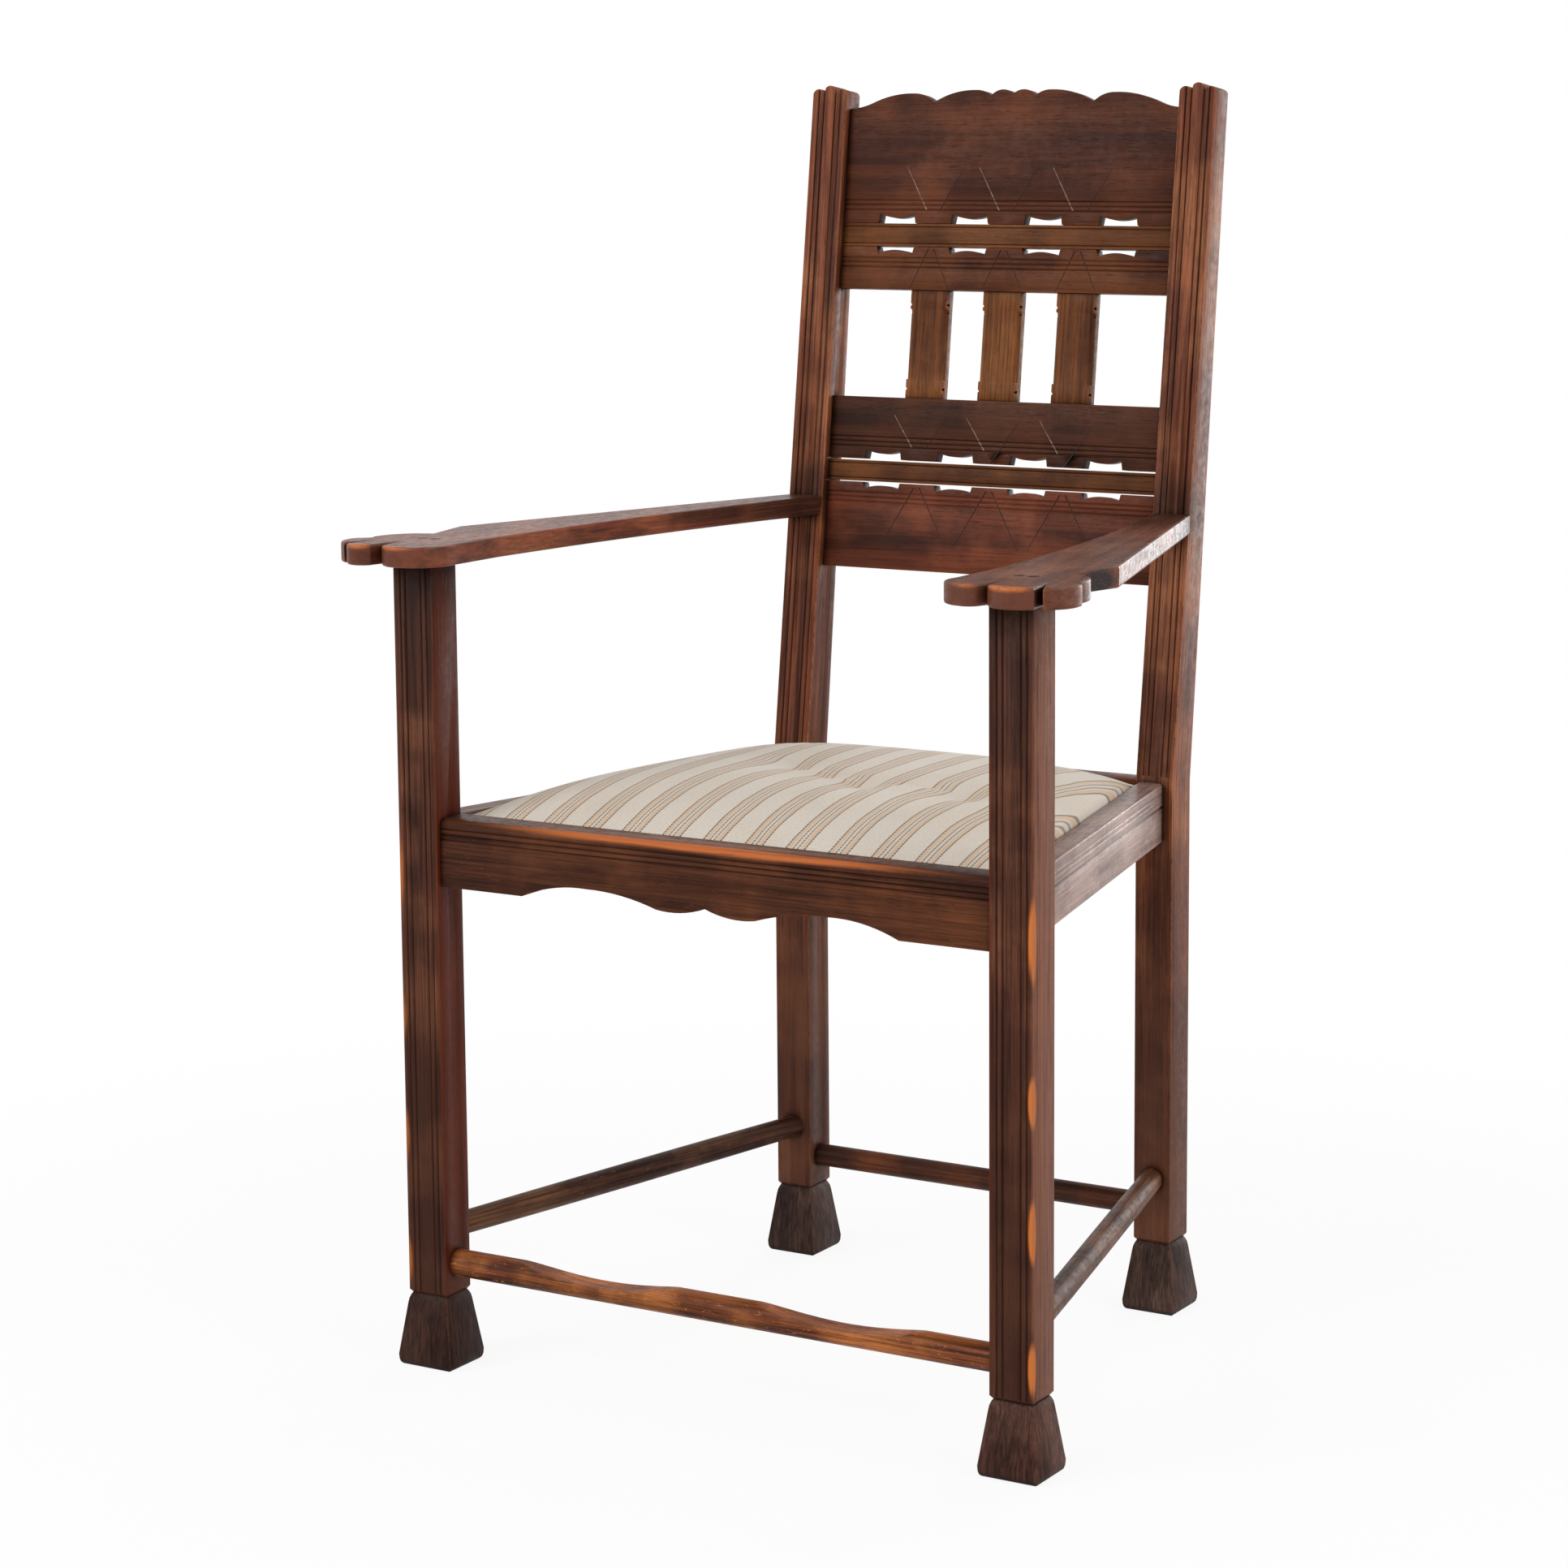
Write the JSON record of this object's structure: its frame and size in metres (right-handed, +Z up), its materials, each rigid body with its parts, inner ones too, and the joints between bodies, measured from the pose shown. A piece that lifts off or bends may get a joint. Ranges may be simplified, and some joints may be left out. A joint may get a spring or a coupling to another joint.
{
  "type": "armchair",
  "caption": "High-back oak armchair with a scrolled crest, slatted and boarded back, lobed arm ends, flared feet, round stretchers and a lift-out striped cushion seat.",
  "frame": {"origin": "on the floor, under the middle of the chair's bounding box", "axes": "+Z up; the chair faces -Y; +X is to the right of someone who stands in front of it, and names with right and left follow that"},
  "size_m": [0.6729, 0.584, 1.0639],
  "materials": {
    "oak": "dark stained and waxed, worn to bare colour on edges",
    "pine": "plain sawn",
    "screw_steel": "dull",
    "webbing": "woven jute",
    "hessian": "open woven",
    "seat_cloth": "cream cloth with woven stripes from front to back"
  },
  "bodies": {
    "chair": {"arm_dowels": "oak", "arm_left": "oak", "arm_plugs": "oak", "arm_right": "oak", "arm_screws": "screw_steel", "bottom_back_board": "oak", "corner_block_screws": "screw_steel", "crest_board": "oak", "foot_dowels": "oak", "front_corner_block_left": "pine", "front_corner_block_right": "pine", "front_foot_left": "oak", "front_foot_right": "oak", "front_leg_left": "oak", "front_leg_right": "oak", "front_seat_rail": "oak", "front_stretcher": "oak", "lower_back_board": "oak", "lower_back_slat": "oak", "rear_corner_block_left": "pine", "rear_corner_block_right": "pine", "rear_foot_left": "oak", "rear_foot_right": "oak", "rear_post_left": "oak", "rear_post_right": "oak", "rear_seat_rail": "oak", "rear_stretcher": "oak", "side_seat_rail_left": "oak", "side_seat_rail_right": "oak", "side_stretcher_left": "oak", "side_stretcher_right": "oak", "splat_centre": "oak", "splat_left": "oak", "splat_right": "oak", "upper_back_board": "oak", "upper_back_slat": "oak"},
    "loose_seat": {"seat_cushion": "seat_cloth", "seat_frame_dowels": "pine", "seat_frame_front": "pine", "seat_frame_rear": "pine", "seat_frame_side_left": "pine", "seat_frame_side_right": "pine", "seat_hessian": "hessian", "seat_webbing_cross": "webbing", "seat_webbing_long": "webbing"}
  },
  "joints": [
    {"name": "seat_lift", "type": "slide", "parent": "chair", "child": "loose_seat", "axis": [0, 0, 1], "range_m": [0, 0.08]}
  ]
}
